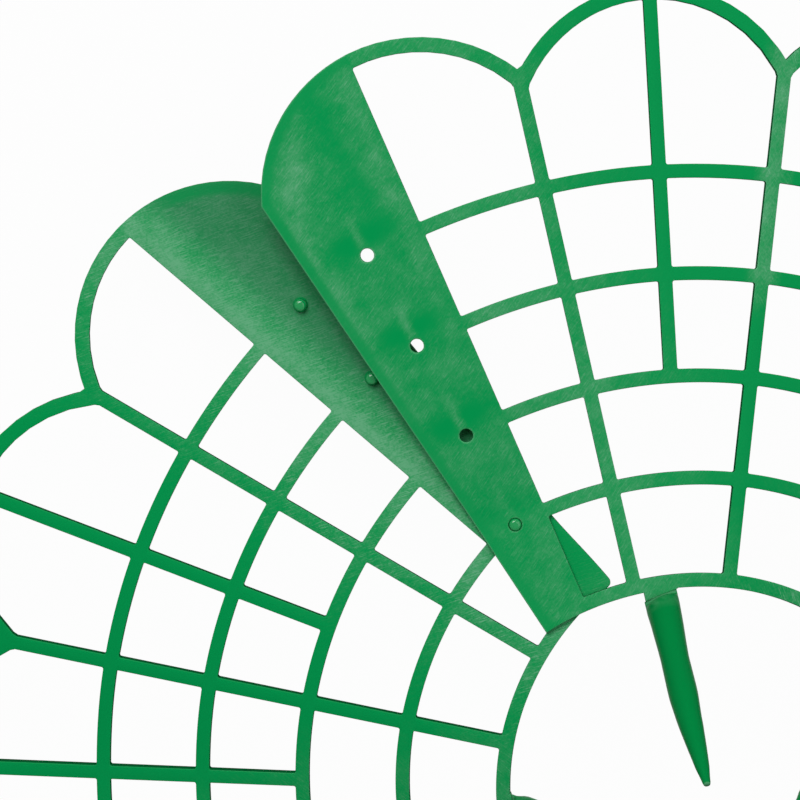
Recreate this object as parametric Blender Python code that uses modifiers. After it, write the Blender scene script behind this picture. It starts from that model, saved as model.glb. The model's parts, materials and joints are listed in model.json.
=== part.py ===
"""Conical strawberry support: a ring of four moulded lattice panels with fold-down stakes.

Each panel is a flat fan of ribs and rings, bent along its ribs. One end plate carries four pegs
and the other four holes, and each panel turns about the inner peg of its neighbour. The ring
stands on its rim, narrow end up. Metres, +Z up, origin under the middle of the ring.
"""
import bpy
import bmesh
from math import atan2, cos, pi, radians, sin, sqrt
from mathutils import Matrix, Vector

for old_object in list(bpy.data.objects):
    bpy.data.objects.remove(old_object, do_unlink=True)

# The lattice: radii run along the panel from the point where its ribs would meet
PANELS = 4
RINGS = 5
HALF_RIB_RING = 3
INNER_RING_RADIUS = 0.0693
RING_PITCH = 0.025
BAR_WIDTH = 0.0034
SHEET = 0.0018
PETAL_ANGLE = radians(19.5)
MIDDLE_PETALS = 2
END_RIB_ANGLE = radians(15.3)
PLATE_HALF_ANGLE = radians(5.0)
PETAL_RADIUS = 0.0380
PETAL_CENTRE_OUT = 0.0076
END_PETAL_SHIFT = radians(0.65)
PETAL_BAND = 0.0036

# How a panel is bent and how far the joints stand open
FLAT_ANGLE = radians(8.0)
REST_SWING = radians(16.0)
FOLD_ANGLE = radians(30.0)
SHEET_GAP = 0.0005

# Pegs and holes
PEG_RADIUS = 0.0015
PEG_HEIGHT = 0.0030
PEG_DOME = 0.0006
PEG_CLEARANCE = 0.0003
OPEN_PIVOT_CLEARANCE = 0.0009

# Stakes and the tabs that carry them
STAKE_ANGLE = radians(20.4)
STAKE_LENGTH = 0.056
STAKE_HALF_WIDTH = 0.0038
STAKE_WAIST = 0.6
STAKE_WAIST_RADIUS = 0.0033
STAKE_TIP_RADIUS = 0.0008
STAKE_SHOULDER = 0.006
STAKE_REST_FOLD = radians(40.0)
TAB_DEPTH = 0.0012
HINGE_GAP = 0.0003

# Facets
ROUND_SIDES = 20
STAKE_SIDES = 14
CELL_STEPS = 4
END_CELL_STEPS = 3
PLATE_STEPS = 4

SPAN = 2*END_RIB_ANGLE + MIDDLE_PETALS*PETAL_ANGLE
PIVOT_RADIUS = INNER_RING_RADIUS + RING_PITCH
OUTER_RING_RADIUS = INNER_RING_RADIUS + (RINGS - 1)*RING_PITCH
RISE = SHEET + SHEET_GAP
LIFT_START = PIVOT_RADIUS + BAR_WIDTH/2
LIFT_SLOPE = PEG_HEIGHT/(RING_PITCH - BAR_WIDTH)


def ring_radius(ring):
    """Radius of a ring's middle, counted from 1 at the inner ring."""
    return INNER_RING_RADIUS + (ring - 1)*RING_PITCH


def line_frame(angle, curl):
    """Frame of the rib line at this flat angle from the peg line.

    Its columns are the rib's direction, the way round the ring and the outward normal. The panel
    is flat near both ends and evenly bent between them.
    """
    bent = min(max(angle - FLAT_ANGLE, 0.0), SPAN - 2*FLAT_ANGLE)
    first = min(angle, FLAT_ANGLE)
    last = max(angle - (SPAN - FLAT_ANGLE), 0.0)
    bend_axis = Vector((-curl, 0.0, 1.0))
    bend = Matrix.Rotation(bent*bend_axis.length, 3, bend_axis)
    return Matrix.Rotation(first, 3, 'Z') @ bend @ Matrix.Rotation(last, 3, 'Z')


def closing_miss(curl):
    """How far a panel and its open joint are from making one equal share of the ring."""
    turn = line_frame(SPAN, curl) @ Matrix.Rotation(REST_SWING, 3, 'Z')
    trace = turn[0][0] + turn[1][1] + turn[2][2]
    return trace - 1 - 2*cos(2*pi/PANELS)


def solve_curl():
    """Bend of a panel for which the ring closes, by halving."""
    low, high = 0.0, 4.0
    for _ in range(50):
        middle = (low + high)/2
        if closing_miss(middle)*closing_miss(low) > 0:
            low = middle
        else:
            high = middle
    return (low + high)/2


CURL = solve_curl()


def ease(t):
    """Smooth step from 0 to 1."""
    t = min(max(t, 0.0), 1.0)
    return t*t*(3 - 2*t)


def lift(radius, angle):
    """Height of the sheet's middle over the plain bent surface.

    It climbs from under the neighbour at the peg end to over the neighbour at the hole end. There
    the plate is creased beyond the inner peg and tilts up in a plane, over the other pegs. The
    tilt fades out within the fold angle of the hole line.
    """
    share = ease((angle - FLAT_ANGLE)/(SPAN - 2*FLAT_ANGLE))
    folded = ease((angle - SPAN + FOLD_ANGLE)/(FOLD_ANGLE - PLATE_HALF_ANGLE))
    tilt = max(radius*cos(angle - SPAN) - LIFT_START, 0.0)*LIFT_SLOPE
    return share*RISE + folded*tilt - RISE/2


def line_point(radius, angle, height=0.0):
    """Point of the panel in its own frame, whose origin is the inner peg on the plain surface."""
    frame = line_frame(angle, CURL)
    along = frame @ Vector((radius, 0.0, height))
    return along - Vector((PIVOT_RADIUS, 0.0, 0.0))


def sheet_point(radius, angle, height=0.0):
    """Point at a height over the middle of the sheet."""
    return line_point(radius, angle, height + lift(radius, angle))


def line_matrix(radius, angle, height=0.0):
    """Placement at a point of the sheet, with X along the rib and Z outward."""
    place = line_frame(angle, CURL).to_4x4()
    place.translation = sheet_point(radius, angle, height)
    return place


def rib_angles():
    """Angles of the full ribs."""
    return [END_RIB_ANGLE + i*PETAL_ANGLE for i in range(MIDDLE_PETALS + 1)]


def half_rib_angles():
    """Angles of the short ribs, in the middle petals only."""
    return [END_RIB_ANGLE + (i + 0.5)*PETAL_ANGLE for i in range(MIDDLE_PETALS)]


def petal_middles():
    """Angles of the petals' middles. The end petals lie a little away from the plates."""
    end = (END_RIB_ANGLE - PLATE_HALF_ANGLE)/2 + END_PETAL_SHIFT
    inner = [END_RIB_ANGLE + (i + 0.5)*PETAL_ANGLE for i in range(MIDDLE_PETALS)]
    return [end] + inner + [SPAN - end]


def petal_radius(angle, inset):
    """Radius of the petals' outer edge, moved inward by the inset, at this angle.

    Each petal is a circle centred beyond the outer ring, and the edge is the farthest of them.
    """
    middle = OUTER_RING_RADIUS + PETAL_CENTRE_OUT
    reach = PETAL_RADIUS - inset
    farthest = 0.0
    for petal in petal_middles():
        side = middle*sin(angle - petal)
        beyond = sqrt(max(reach*reach - side*side, 0.0))
        farthest = max(farthest, middle*cos(angle - petal) + beyond)
    return farthest


def lattice_columns():
    """Column lines as angle, side of the bar and kind of the strip that follows each line."""
    bars = [(a, 'rib') for a in rib_angles()] + [(a, 'half_rib') for a in half_rib_angles()]
    bars.sort()
    lines = []

    def spread(start, end, steps, kind, lean_start=0, lean_end=0):
        for i in range(steps):
            share = i/steps
            lines.append((start + (end - start)*share, lean_start*(1 - share) + lean_end*share, kind))

    spread(-PLATE_HALF_ANGLE, PLATE_HALF_ANGLE, PLATE_STEPS, 'plate')
    last, lean = PLATE_HALF_ANGLE, 0
    for i, (angle, kind) in enumerate(bars):
        steps = END_CELL_STEPS if i == 0 else CELL_STEPS
        spread(last, angle, steps, 'cell', lean, -1)
        lines.append((angle, -1, kind))
        last, lean = angle, 1
    spread(last, SPAN - PLATE_HALF_ANGLE, END_CELL_STEPS, 'cell', lean, 0)
    spread(SPAN - PLATE_HALF_ANGLE, SPAN + PLATE_HALF_ANGLE, PLATE_STEPS, 'plate')
    lines.append((SPAN + PLATE_HALF_ANGLE, 0, 'end'))
    return lines


def lattice_rows():
    """Row lines as radius, or as inset from the petals' edge, and kind of the strip that follows."""
    lines = []
    for ring in range(1, RINGS + 1):
        lines.append((ring_radius(ring) - BAR_WIDTH/2, None, 'ring', ring))
        lines.append((ring_radius(ring) + BAR_WIDTH/2, None, 'gap', ring))
    lines.append((None, PETAL_BAND, 'ring', RINGS + 1))
    lines.append((None, 0.0, 'end', RINGS + 1))
    return lines


def lattice_position(column, row):
    """Radius and angle of a grid corner."""
    angle, lean, _ = column
    fixed_radius, inset, _, _ = row
    radius = fixed_radius if fixed_radius is not None else petal_radius(angle, inset)
    turned = angle + lean*BAR_WIDTH/2/radius
    if fixed_radius is None:
        radius = petal_radius(turned, inset)
    return radius, turned


def has_material(column_kind, row_kind, ring):
    """Whether the lattice is solid in this strip of columns and rows."""
    if row_kind == 'ring' or column_kind in ('plate', 'rib'):
        return True
    return column_kind == 'half_rib' and ring >= HALF_RIB_RING


def make_object(name, mesh_builder, collection):
    """New mesh object in a collection, from a bmesh."""
    mesh = bpy.data.meshes.new(name)
    mesh_builder.normal_update()
    mesh_builder.to_mesh(mesh)
    mesh_builder.free()
    item = bpy.data.objects.new(name, mesh)
    collection.objects.link(item)
    return item


def lattice_mesh():
    """Open sheet of the lattice: a grid whose corners are moved onto the bent panel."""
    columns = lattice_columns()
    rows = lattice_rows()
    builder = bmesh.new()
    bmesh.ops.create_grid(builder, x_segments=len(columns) - 1, y_segments=len(rows) - 1, size=1.0)
    across = (len(columns) - 1)/2
    up = (len(rows) - 1)/2
    empty_cells = []
    for face in builder.faces:
        centre = face.calc_center_median()
        column = columns[int((centre.x + 1)*across)]
        row = rows[int((centre.y + 1)*up)]
        if not has_material(column[2], row[2], row[3]):
            empty_cells.append(face)
    for vertex in builder.verts:
        column = columns[round((vertex.co.x + 1)*across)]
        row = rows[round((vertex.co.y + 1)*up)]
        vertex.co = sheet_point(*lattice_position(column, row))
    bmesh.ops.delete(builder, geom=empty_cells, context='FACES')
    bmesh.ops.recalc_face_normals(builder, faces=builder.faces)
    if sum(face.normal.z for face in builder.faces) < 0:
        bmesh.ops.reverse_faces(builder, faces=builder.faces)
    return builder


def add_cylinder(builder, place, radius, low, high, sides):
    """Cylinder on the local Z axis of a placement, between two heights. Gives its corners."""
    middle = Matrix.Translation((0.0, 0.0, (low + high)/2))
    made = bmesh.ops.create_cone(builder, cap_ends=True, segments=sides, radius1=radius,
                                 radius2=radius, depth=high - low, matrix=place @ middle)
    return made['verts']


def peg_mesh():
    """The four pegs of a panel, each with a rounded top, rooted in the middle of the sheet."""
    builder = bmesh.new()
    for ring in range(2, RINGS + 1):
        place = line_matrix(ring_radius(ring), 0.0)
        top = SHEET/2 + PEG_HEIGHT
        corners = add_cylinder(builder, place, PEG_RADIUS, 0.0, top, ROUND_SIDES)
        crown = sorted(corners, key=lambda v: -(place.inverted() @ v.co).z)[:ROUND_SIDES]
        rim = [e for e in builder.edges if e.verts[0] in crown and e.verts[1] in crown]
        bmesh.ops.bevel(builder, geom=rim, offset=PEG_DOME, segments=2, affect='EDGES')
    return builder


def hole_mesh(pivot_clearance):
    """Cutter for the four holes of a panel, square to the hole plate."""
    builder = bmesh.new()
    plate_tilt = Matrix.Rotation(-LIFT_SLOPE, 4, 'Y')
    for ring in range(2, RINGS + 1):
        place = line_matrix(ring_radius(ring), SPAN)
        clearance = pivot_clearance if ring == 2 else PEG_CLEARANCE
        if ring > 2:
            place = place @ plate_tilt
        add_cylinder(builder, place, PEG_RADIUS + clearance, -2*SHEET, 2*SHEET, ROUND_SIDES)
    return builder


TAB_ANGLE = SPAN - STAKE_ANGLE
TAB_EDGE_RADIUS = INNER_RING_RADIUS - BAR_WIDTH/2 - TAB_DEPTH


def tab_mesh():
    """Tab on the inner ring that a stake hangs on."""
    builder = bmesh.new()
    bmesh.ops.create_cube(builder, size=2.0)
    place = line_matrix(INNER_RING_RADIUS, TAB_ANGLE)
    for vertex in builder.verts:
        x = 0.0 if vertex.co.x > 0 else TAB_EDGE_RADIUS - INNER_RING_RADIUS
        vertex.co = place @ Vector((x, vertex.co.y*STAKE_HALF_WIDTH, vertex.co.z*SHEET/2))
    return builder


def hinge_matrix():
    """Place of a stake's hinge, with X towards the tip when flat, Y on the axis and Z outward."""
    place = line_matrix(INNER_RING_RADIUS, TAB_ANGLE)
    edge = Matrix.Translation((TAB_EDGE_RADIUS - INNER_RING_RADIUS, 0.0, SHEET/2))
    return place @ edge @ Matrix.Rotation(pi, 4, 'Z')


def stake_section(station):
    """Half width and half thickness of a stake at this share of its length."""
    if station < STAKE_WAIST:
        width = STAKE_HALF_WIDTH + (STAKE_WAIST_RADIUS - STAKE_HALF_WIDTH)*station/STAKE_WAIST
    else:
        share = (station - STAKE_WAIST)/(1 - STAKE_WAIST)
        width = STAKE_WAIST_RADIUS + (STAKE_TIP_RADIUS - STAKE_WAIST_RADIUS)*share
    fullness = ease(station*STAKE_LENGTH/STAKE_SHOULDER)
    return width, SHEET/2 + (width - SHEET/2)*fullness


def stake_mesh():
    """A stake along +X from its hinge: a cylinder cut at stations, each ring set to its section."""
    stations = [0.0, 0.03, 0.07, STAKE_SHOULDER/STAKE_LENGTH, STAKE_WAIST/2, STAKE_WAIST,
                (1 + STAKE_WAIST)/2, 0.95, 1.0]
    builder = bmesh.new()
    along = Matrix.Translation((0.5, 0.0, 0.0)) @ Matrix.Rotation(pi/2, 4, 'Y')
    bmesh.ops.create_cone(builder, cap_ends=True, segments=STAKE_SIDES, radius1=1.0, radius2=1.0,
                          depth=1.0, matrix=along)
    for station in stations[1:-1]:
        geometry = list(builder.verts) + list(builder.edges) + list(builder.faces)
        bmesh.ops.bisect_plane(builder, geom=geometry, dist=1e-6, plane_co=(station, 0.0, 0.0),
                               plane_no=(1.0, 0.0, 0.0))
    for vertex in builder.verts:
        width, thickness = stake_section(vertex.co.x)
        vertex.co = Vector((HINGE_GAP + vertex.co.x*(STAKE_LENGTH - HINGE_GAP),
                            vertex.co.y*width, vertex.co.z*thickness - SHEET/2))
    return builder


def plastic(name, colour, roughness):
    """Moulded plastic material."""
    material = bpy.data.materials.new(name)
    material.use_nodes = True
    shader = material.node_tree.nodes['Principled BSDF']
    shader.inputs['Base Color'].default_value = (*colour, 1.0)
    shader.inputs['Roughness'].default_value = roughness
    shader.inputs['Metallic'].default_value = 0.0
    material.diffuse_color = (*colour, 1.0)
    return material


def add_boolean(item, tool, operation):
    """Boolean of an object with a tool that is hidden from renders."""
    modifier = item.modifiers.new(tool.name, 'BOOLEAN')
    modifier.operation = operation
    modifier.solver = 'EXACT'
    modifier.object = tool
    tool.hide_render = True
    tool.display_type = 'WIRE'


def new_collection(name):
    """Collection linked to the scene."""
    collection = bpy.data.collections.new(name)
    bpy.context.scene.collection.children.link(collection)
    return collection


def new_empty(name, parent, place):
    """Empty at a placement relative to its parent."""
    empty = bpy.data.objects.new(name, None)
    empty.empty_display_size = 0.01
    parts.objects.link(empty)
    empty.parent = parent
    empty.matrix_local = place
    return empty


parts = new_collection('strawberry_support')
tools = new_collection('tools')

PANEL_GREEN = (0.016, 0.262, 0.078)
STAKE_GREEN = (0.008, 0.216, 0.062)


def build_panel(name, pivot_clearance):
    """Panel: bent sheet, holes cut, pegs and stake tab joined on."""
    panel = make_object(name, lattice_mesh(), parts)
    sheet = panel.modifiers.new('sheet', 'SOLIDIFY')
    sheet.thickness = SHEET
    sheet.offset = 0.0
    add_boolean(panel, make_object(name + '_tab', tab_mesh(), tools), 'UNION')
    add_boolean(panel, make_object(name + '_holes', hole_mesh(pivot_clearance), tools), 'DIFFERENCE')
    add_boolean(panel, make_object(name + '_pegs', peg_mesh(), tools), 'UNION')
    panel.data.materials.append(plastic(name + '_plastic', PANEL_GREEN, 0.42))
    return panel


def build_stake(name):
    """Stake with its origin on its hinge."""
    stake = make_object(name, stake_mesh(), parts)
    stake.data.shade_smooth()
    stake.data.set_sharp_from_angle(angle=radians(40))
    stake.data.materials.append(plastic(name + '_plastic', STAKE_GREEN, 0.34))
    return stake


def follow_panel(panel):
    """Tie a panel's cutters to it, so that they move together."""
    for modifier in panel.modifiers:
        if modifier.type == 'BOOLEAN':
            modifier.object.parent = panel


# From a panel's peg frame to its hole frame, and through the open joint to the next panel
to_hole = line_frame(SPAN, CURL).to_4x4()
to_hole.translation = line_point(PIVOT_RADIUS, SPAN)
swing = Matrix.Rotation(REST_SWING, 4, 'Z')

# The ring's axis is the axis of that step, and all pivots point at its centre
step = (to_hole @ swing).to_3x3()
axis = Vector((step[2][1] - step[1][2], step[0][2] - step[2][0], step[1][0] - step[0][1]))
axis.normalize()
peg_normal = Vector((0.0, 0.0, 1.0))
hole_normal = to_hole.to_3x3() @ peg_normal
spread_normal = peg_normal - hole_normal
pivot_depth = -to_hole.translation.dot(spread_normal)/spread_normal.dot(spread_normal)
centre = -pivot_depth*peg_normal

# Stand the ring upright about its centre, with the first panel's hole end at the back
upright = axis.rotation_difference(Vector((0.0, 0.0, 1.0))).to_matrix().to_4x4()
back = (upright @ (to_hole.translation - centre)).to_2d()
to_back = Matrix.Rotation(pi/2 - atan2(back.y, back.x), 4, 'Z')

stand = bpy.data.objects.new('stand', None)
parts.objects.link(stand)

back_right_panel = build_panel('back_right_panel', PEG_CLEARANCE)
back_right_panel.parent = stand
back_right_panel.matrix_local = to_back @ upright @ Matrix.Translation(-centre)

back_pivot = new_empty('back_pivot', back_right_panel, to_hole @ swing)
back_left_panel = build_panel('back_left_panel', PEG_CLEARANCE)
back_left_panel.parent = back_pivot

left_pivot = new_empty('left_pivot', back_left_panel, to_hole @ swing)
front_left_panel = build_panel('front_left_panel', OPEN_PIVOT_CLEARANCE)
front_left_panel.parent = left_pivot

right_pivot = new_empty('right_pivot', back_right_panel, swing.inverted())
front_right_panel = build_panel('front_right_panel', PEG_CLEARANCE)
front_right_panel.parent = right_pivot
front_right_panel.matrix_local = to_hole.inverted()

for panel in (back_right_panel, back_left_panel, front_left_panel, front_right_panel):
    follow_panel(panel)
    side = panel.name.removesuffix('_panel')
    hinge = new_empty(side + '_hinge', panel, hinge_matrix())
    stake = build_stake(side + '_stake')
    stake.parent = hinge
    stake.rotation_euler = (0.0, -STAKE_REST_FOLD, 0.0)

# Lower the ring until its rim stands on the ground
bpy.context.view_layer.update()
depsgraph = bpy.context.evaluated_depsgraph_get()
lowest = 1.0
for item in parts.objects:
    if item.type == 'MESH':
        shape = item.evaluated_get(depsgraph)
        lowest = min(lowest, min((item.matrix_world @ v.co).z for v in shape.data.vertices))
stand.location.z = -lowest
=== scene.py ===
import json
from math import cos, pi, radians, sin, sqrt

import bpy
import numpy as np
from mathutils import Matrix


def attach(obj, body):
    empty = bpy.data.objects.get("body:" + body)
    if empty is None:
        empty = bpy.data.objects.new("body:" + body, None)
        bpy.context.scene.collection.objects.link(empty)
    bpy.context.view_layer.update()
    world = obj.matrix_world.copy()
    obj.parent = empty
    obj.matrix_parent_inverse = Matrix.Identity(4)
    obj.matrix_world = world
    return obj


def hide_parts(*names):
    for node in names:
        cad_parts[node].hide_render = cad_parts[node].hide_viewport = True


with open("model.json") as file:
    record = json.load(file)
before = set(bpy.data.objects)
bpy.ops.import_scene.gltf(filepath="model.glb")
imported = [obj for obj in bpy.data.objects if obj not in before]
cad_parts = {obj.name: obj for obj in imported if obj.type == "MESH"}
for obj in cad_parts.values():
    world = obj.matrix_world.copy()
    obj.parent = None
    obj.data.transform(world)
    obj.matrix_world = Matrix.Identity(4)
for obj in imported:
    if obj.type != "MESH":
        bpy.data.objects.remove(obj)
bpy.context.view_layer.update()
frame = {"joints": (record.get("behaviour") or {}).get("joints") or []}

# Sizes of the moulding in metres and its angles, as in the solids. A plate spans its angle twice
PANELS = 4
RINGS = 5
HALF_RIB_RING = 3
INNER_RADIUS = 0.0693
RING_PITCH = 0.025
BAR_WIDTH = 0.0034
SHEET = 0.0018
SHEET_GAP = 0.0005
PETAL_ANGLE = radians(19.5)
END_RIB_ANGLE = radians(15.3)
PLATE_ANGLE = radians(5.0)
PETAL_RADIUS = 0.0380
PETAL_CENTRE_OUT = 0.0076
END_PETAL_SHIFT = radians(0.65)
PETAL_BAND = 0.0036
FLAT_ANGLE = radians(8.0)
REST_SWING = radians(16.0)
FOLD_ANGLE = radians(30.0)
PEG_HEIGHT = 0.0030
STAKE_ANGLE = radians(20.4)
STAKE_LENGTH = 0.056
STAKE_REST_FOLD = radians(40.0)
TAB_DEPTH = 0.0012

SPAN = 2*END_RIB_ANGLE + 2*PETAL_ANGLE
PIVOT_RADIUS = INNER_RADIUS + RING_PITCH
OUTER_RADIUS = INNER_RADIUS + (RINGS - 1)*RING_PITCH
RISE = SHEET + SHEET_GAP
LIFT_START = PIVOT_RADIUS + BAR_WIDTH/2
TAB_ANGLE = SPAN - STAKE_ANGLE
HALF_BAR = BAR_WIDTH/2
INNER_EDGE = INNER_RADIUS - HALF_BAR
TAB_EDGE = INNER_EDGE - TAB_DEPTH
END_PETAL = (END_RIB_ANGLE - PLATE_ANGLE)/2 + END_PETAL_SHIFT
PETAL_CENTRE = OUTER_RADIUS + PETAL_CENTRE_OUT

# Sizes that only the picture needs: rounded edges and corners, visible pegs and holes
CREASE_WIDTH = 0.004
EDGE_LINES = (0.0, 0.00008, 0.00024)
EDGE_DROPS = (0.00015, 0.00004, 0.0)
# Share of painted highlight on the rounded edges: at the edge, one step in, and further in
EDGE_HIGHLIGHT_SHARES = (1.0, 0.6, 0.0)
LOWER_DROP = 0.6
RING_LINE = 0.0007
TAB_LINES = (0.0005, 0.0008)
CORNER_RADIUS = 0.0005
CORNER_FADES = (1.0, 0.9, 0.55)
PLATE_CORNER = 0.0014
HOLE_RADIUS = 0.00166
OPEN_HOLE_RADIUS = 0.00245
HOLE_BLEND = 0.0024
CREASE_SLANT = 0.256
SLANT_LENGTH = 0.009
ROOT_HALF_WIDTH = 0.0041
TAB_FAR_SIDE = 0.00416
TAB_MIDDLE_LINE = 0.002
PEG_PLATE_FLARE = radians(0.9)
FLARE_FROM = 0.066
FLARE_TO = 0.092

# A peg's heights over the sheet and its half widths there: flared foot, side, rim and crown
PEG_HEIGHTS = (-0.0004, 0.0, 0.00012, 0.0003, 0.0006, 0.0016, 0.0022, 0.0025, 0.00275, 0.0029,
               0.00297, 0.003)
PEG_WIDTHS = (0.00188, 0.00188, 0.00171, 0.00161, 0.00158, 0.00156, 0.00155, 0.00149, 0.00134,
              0.0011, 0.00086, 0.0005)
PEG_SIDES = 24

# A stake's stations along it, its half widths and its bends sideways by share of its length
ROOT_DEPTH = 0.0005
STAKE_STATIONS = (-ROOT_DEPTH, -0.0002, 0.0001, 0.0005, 0.0009, 0.0012, 0.0015, 0.0018, 0.0022,
                  0.0027, *np.linspace(0.0036, 0.0545, 44), 0.0552, 0.0557, 0.0559, STAKE_LENGTH)
STAKE_WIDTHS = ((0, 0.07, 0.17, 0.28, 0.34, 0.49, 0.54, 0.6, 0.7, 0.8, 0.91, 0.962, 0.992, 1),
                (0.00412, 0.00412, 0.0039, 0.00358, 0.00347, 0.00358, 0.00355, 0.0033, 0.0029,
                 0.00236, 0.0017, 0.00118, 0.00096, 0.00078))
STAKE_BENDS = ((0, 0.15, 0.35, 0.65, 0.85, 1),
               (0.0002, 0.0002, 0.00034, 0.0003, -0.00006, -0.00026))
SHOULDER_START = 0.0009
SHOULDER_LENGTH = 0.0016
STAKE_SIDES = 32

# Steps of the grid across plates and cells, and along the cells
PLATE_STEPS = 13
END_CELL_STEPS = 9
CELL_STEPS = 6
HOLE_SIDE_STEPS = 5
GAP_STEPS = 15
LENS_STEPS = 18

# Millimetres in a metre, and the flat map's units in a metre
MM = 1000.0
FLAT_MAP_UNITS = 10.0

UP = np.array([0.0, 0.0, 1.0])
SIDES = ('back_right', 'back_left', 'front_left', 'front_right')


def turned(vectors, axis, angle):
    """Vectors turned about a unit axis k by angles: v cos + (k x v) sin + k (k.v)(1 - cos)."""
    c, s = np.cos(angle)[..., None], np.sin(angle)[..., None]
    along = (vectors @ axis)[..., None]*axis
    return vectors*c + np.cross(axis, vectors)*s + along*(1 - c)


def cone_axis(curl):
    """Unit axis about which a bent sheet of this curl turns, and its turn for each radian."""
    length = sqrt(curl*curl + 1)
    return np.array([-curl, 0.0, 1.0])/length, length


def line_frames(angle, curl):
    """Rib direction and outward normal at flat angles: flat at both ends, evenly bent between."""
    angle = np.asarray(angle, float)
    first = np.minimum(angle, FLAT_ANGLE)
    bent = np.clip(angle - FLAT_ANGLE, 0.0, SPAN - 2*FLAT_ANGLE)
    last = np.maximum(angle - (SPAN - FLAT_ANGLE), 0.0)
    axis, rate = cone_axis(curl)
    along = np.stack([np.cos(last), np.sin(last), 0*last], -1)
    along = turned(turned(along, axis, bent*rate), UP, first)
    normal = turned(turned(np.zeros_like(along) + UP, axis, bent*rate), UP, first)
    return along, normal


def turn_matrix(axis, angle):
    """3 x 3 matrix of a turn about a unit axis."""
    return turned(np.eye(3), axis, np.full(3, float(angle))).T


def joint_step(curl):
    """Turn from one panel's peg frame to the next panel's, through the open joint."""
    axis, rate = cone_axis(curl)
    bend = turn_matrix(axis, (SPAN - 2*FLAT_ANGLE)*rate)
    flat = turn_matrix(UP, FLAT_ANGLE)
    return flat @ bend @ flat @ turn_matrix(UP, REST_SWING)


def solve_curl():
    """Bend for which a panel and its open joint make one equal share of the ring, by halving."""
    low, high = 0.0, 4.0
    for _ in range(50):
        middle = (low + high)/2
        if np.trace(joint_step(middle)) - 1 - 2*cos(2*pi/PANELS) > 0:
            low = middle
        else:
            high = middle
    return (low + high)/2


CURL = solve_curl()


def ring_radius(ring):
    """Radius of a ring's middle, counted from 1 at the inner ring."""
    return INNER_RADIUS + (ring - 1)*RING_PITCH


def ease(value, start=0.0, width=1.0):
    """Smooth step from 0 to 1 over a width: t t (3 - 2 t)."""
    t = np.clip((value - start)/width, 0.0, 1.0)
    return t*t*(3 - 2*t)


def lift(radius, angle):
    """Height of the sheet's middle: under the neighbour at the peg end, over it at the hole end.

    Beyond the inner peg the hole end is creased upward, and the tilt fades out within the fold
    angle. The crease is rounded: its slope grows evenly over the crease's width.
    """
    share = ease((angle - FLAT_ANGLE)/(SPAN - 2*FLAT_ANGLE))
    folded = ease((angle - SPAN + FOLD_ANGLE)/(FOLD_ANGLE - PLATE_ANGLE))
    past = np.clip(radius*np.cos(angle - SPAN) - LIFT_START, 0.0, None)
    rounded = np.where(past < CREASE_WIDTH, past**2/(2*CREASE_WIDTH), past - CREASE_WIDTH/2)
    reach = RING_PITCH - BAR_WIDTH
    slope = PEG_HEIGHT/(reach - CREASE_WIDTH/2)
    return share*RISE + folded*rounded*slope - RISE/2


def panel_points(radius, angle, height):
    """Points of a panel in its peg frame: radius along the rib line, height along the normal."""
    along, normal = line_frames(angle, CURL)
    raised = (height + lift(radius, angle))[..., None]
    return along*radius[..., None] + normal*raised - np.array([PIVOT_RADIUS, 0.0, 0.0])


def ring_placements(pivot_height):
    """Turn and shift of each panel, going round the ring from the one whose peg is on +X.

    The ring's axis is the axis of the joint step, and all peg normals meet on it.
    """
    step = joint_step(CURL)
    axis = (step - step.T)[[2, 0, 1], [1, 2, 0]]
    axis /= np.linalg.norm(axis)
    outward = UP - (UP @ axis)*axis
    outward /= np.linalg.norm(outward)
    base = np.stack([outward, np.cross(axis, outward), axis])
    along, normal = line_frames(SPAN, CURL)
    shift = along*PIVOT_RADIUS - np.array([PIVOT_RADIUS, 0.0, 0.0])
    between = UP - normal
    depth = -(shift @ between)/(between @ between)
    reach = depth*sqrt(1 - (UP @ axis)**2)
    placements = []
    for i in range(PANELS):
        a = 2*pi*i/PANELS
        place = np.array([reach*cos(a), reach*np.sin(a), pivot_height])
        placements.append((turn_matrix(UP, a) @ base, place))
    return placements


# Kinds of the strips between the grid's lines
CELL, PLATE, RIB, HALF_RIB, HOLE, TAB = range(6)
TAB_ROW, RING_ROW, GAP_ROW, BAND_ROW = range(4)
CORNER_LINES = [CORNER_RADIUS*share for share in (1/3, 2/3, 1.0)]


def spread(start, end, steps):
    """Evenly spaced lines between two (angle, lean) lines, both left out."""
    shares = [(i + 1)/(steps + 1) for i in range(steps)]
    return [(start[0]*(1 - s) + end[0]*s, start[1]*(1 - s) + end[1]*s) for s in shares]


def open_strip(start, end, steps, kind=CELL):
    """Lines across an open cell: close together in its corners, even between."""
    near = [(start[0], start[1] + d) for d in CORNER_LINES]
    far = [(end[0], end[1] - d) for d in reversed(CORNER_LINES)]
    return [(*line, kind) for line in near + spread(near[-1], far[0], steps) + far]


def plate_edge(angle, sign, kind):
    """Lines of a plate's rounded edge, from the edge inward for +1 and the other way for -1."""
    lines = [(angle, sign*d, kind) for d in EDGE_LINES]
    return lines if sign > 0 else lines[::-1]


def bar_profile(between):
    """Offsets across a bar without its last edge: its rounded edges, others between."""
    far = [HALF_BAR - d for d in reversed(EDGE_LINES)]
    return [d - HALF_BAR for d in EDGE_LINES] + between + far[:-1]


def bar_lines(angle, kind):
    """Lines of a rib. The last one starts the next cell."""
    return [(angle, lean, kind) for lean in bar_profile([0.0])] + [(angle, HALF_BAR, CELL)]


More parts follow.
